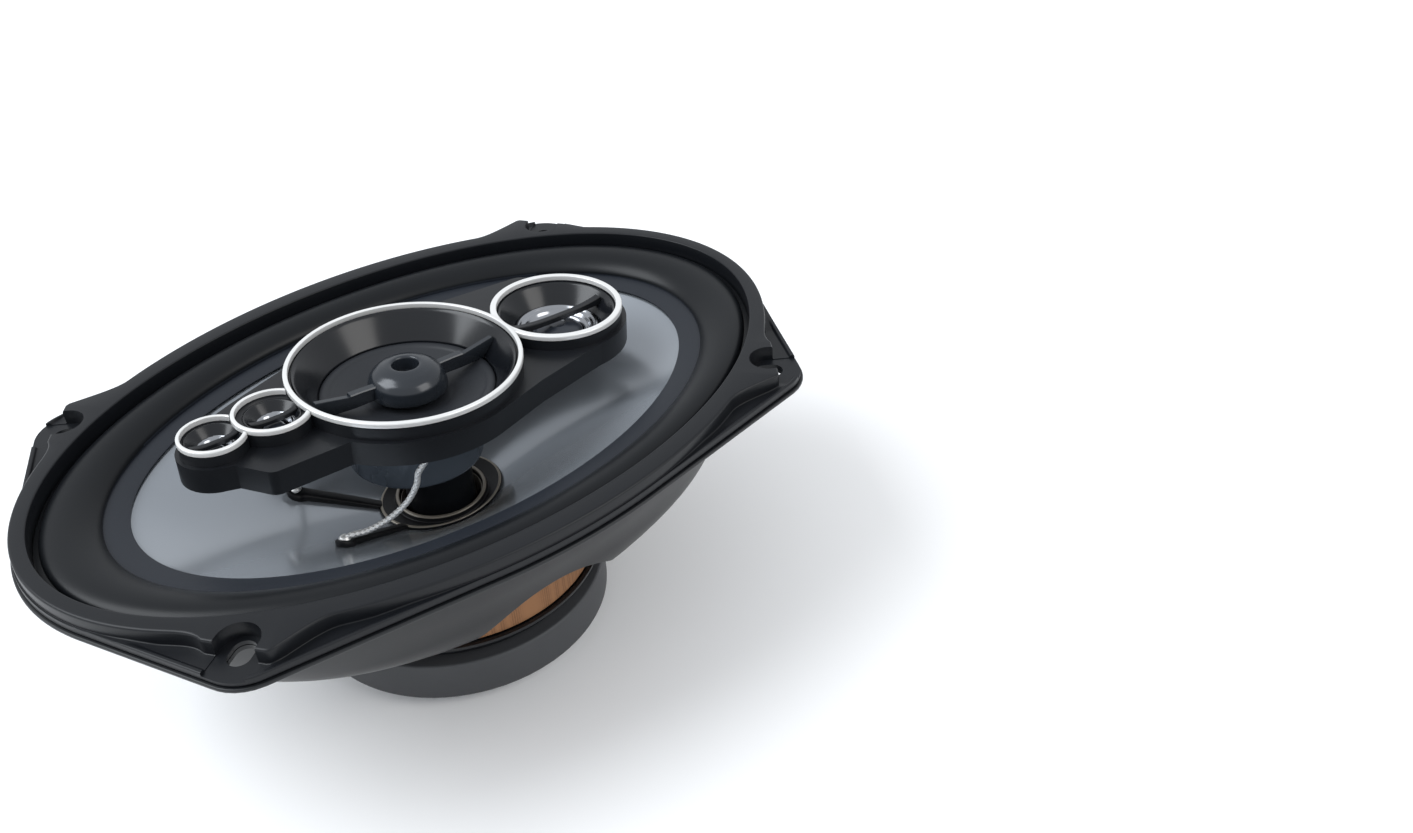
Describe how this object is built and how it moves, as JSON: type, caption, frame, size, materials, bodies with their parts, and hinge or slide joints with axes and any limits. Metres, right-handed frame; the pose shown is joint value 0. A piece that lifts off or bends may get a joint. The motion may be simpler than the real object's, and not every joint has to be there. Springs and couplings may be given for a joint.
{
  "type": "6x9_five_way_coaxial",
  "caption": "Oval coaxial car loudspeaker with a silver cone, rubber surround, black front ring and a tilted pod carrying a midrange, a tweeter and small super tweeters",
  "frame": {"origin": "middle of the magnet back face, under the middle of the oval frame", "axes": "+X long axis towards the large tweeter, +Z out of the cone towards the listener, +Y short axis towards the terminal board"},
  "size_m": [0.2386, 0.1654, 0.1015],
  "materials": {
    "plastic_satin_black": "moulded satin black ABS",
    "basket_black_paint": "satin black powder coat on pressed steel",
    "surround_rubber": "soft satin butyl rubber",
    "cone_silver": "glossy metallised injection moulded polypropylene",
    "collar_rubber": "black sealing adhesive",
    "spider_cloth": "resin treated woven cloth",
    "former_film": "heat resistant film tube",
    "winding_copper": null,
    "ferrite": "dark grey ferrite",
    "plated_steel": "zinc plated steel",
    "pod_plastic": "satin black ABS",
    "waveguide_plastic": "gloss black ABS",
    "trim_silver": "bright satin silver",
    "chrome_plating": "bright chrome plating on plastic",
    "dome_film": "dark film dome",
    "mid_can_steel": "grey plated steel can",
    "paper_pulp": "dark coated pulp diaphragm",
    "lead_braid": "silver plated tinsel braid",
    "board_brown": "dark phenolic paper board",
    "capacitor_sleeve": "dark printed-free sleeve"
  },
  "bodies": {
    "frame": {"basket": "basket_black_paint", "gasket_ring": "plastic_satin_black", "surround": "surround_rubber", "spider": "spider_cloth", "magnet": "ferrite", "top_plate": "plated_steel", "yoke": "plated_steel", "pod_bolt": "plated_steel", "pod_stem": "pod_plastic", "pod_housing": "pod_plastic", "mid_trim_ring": "trim_silver", "mid_waveguide": "waveguide_plastic", "mid_motor": "mid_can_steel", "mid_guard": "pod_plastic", "tweeter_trim_ring": "trim_silver", "tweeter_waveguide": "waveguide_plastic", "tweeter_reflector": "chrome_plating", "tweeter_bar": "pod_plastic", "tweeter_motor": "ferrite", "super_tweeter_a_trim_ring": "trim_silver", "super_tweeter_a_reflector": "chrome_plating", "super_tweeter_a_bar": "pod_plastic", "super_tweeter_b_trim_ring": "trim_silver", "super_tweeter_b_reflector": "chrome_plating", "super_tweeter_b_bar": "pod_plastic", "front_lead_left": "lead_braid", "front_lead_right": "lead_braid", "rear_lead_left": "lead_braid", "rear_lead_right": "lead_braid", "terminal_board": "board_brown", "terminal_tab_positive": "plated_steel", "terminal_tab_negative": "plated_steel", "crossover_capacitor": "capacitor_sleeve"},
    "moving_cone": {"cone": "cone_silver", "neck_collar": "collar_rubber", "lead_strip_left": "collar_rubber", "lead_strip_right": "collar_rubber", "voice_coil_former": "former_film", "voice_coil_winding": "winding_copper"},
    "mid_cone": {"mid_diaphragm": "paper_pulp"},
    "tweeter_diaphragm": {"tweeter_dome": "dome_film"},
    "super_tweeter_a_diaphragm": {"super_tweeter_a_dome": "dome_film"},
    "super_tweeter_b_diaphragm": {"super_tweeter_b_dome": "dome_film"}
  },
  "joints": [
    {"name": "cone_travel", "type": "slide", "parent": "frame", "child": "moving_cone", "axis": [0, 0, 1], "range_m": [-0.004, 0.004], "stiffness_N_per_m": 1500, "deforming": ["surround", "spider", "front_lead_left", "front_lead_right", "rear_lead_left", "rear_lead_right"]},
    {"name": "mid_travel", "type": "slide", "parent": "frame", "child": "mid_cone", "axis": [0.0715, 0, 0.9974], "range_m": [-0.0006, 0.0006], "stiffness_N_per_m": 300},
    {"name": "tweeter_travel", "type": "slide", "parent": "frame", "child": "tweeter_diaphragm", "axis": [0.0715, 0, 0.9974], "range_m": [-0.0002, 0.0003], "stiffness_N_per_m": 200},
    {"name": "super_tweeter_a_travel", "type": "slide", "parent": "frame", "child": "super_tweeter_a_diaphragm", "axis": [0.0715, 0, 0.9974], "range_m": [-0.0002, 0.0002], "stiffness_N_per_m": 150},
    {"name": "super_tweeter_b_travel", "type": "slide", "parent": "frame", "child": "super_tweeter_b_diaphragm", "axis": [0.0715, 0, 0.9974], "range_m": [-0.0002, 0.0002], "stiffness_N_per_m": 150}
  ]
}
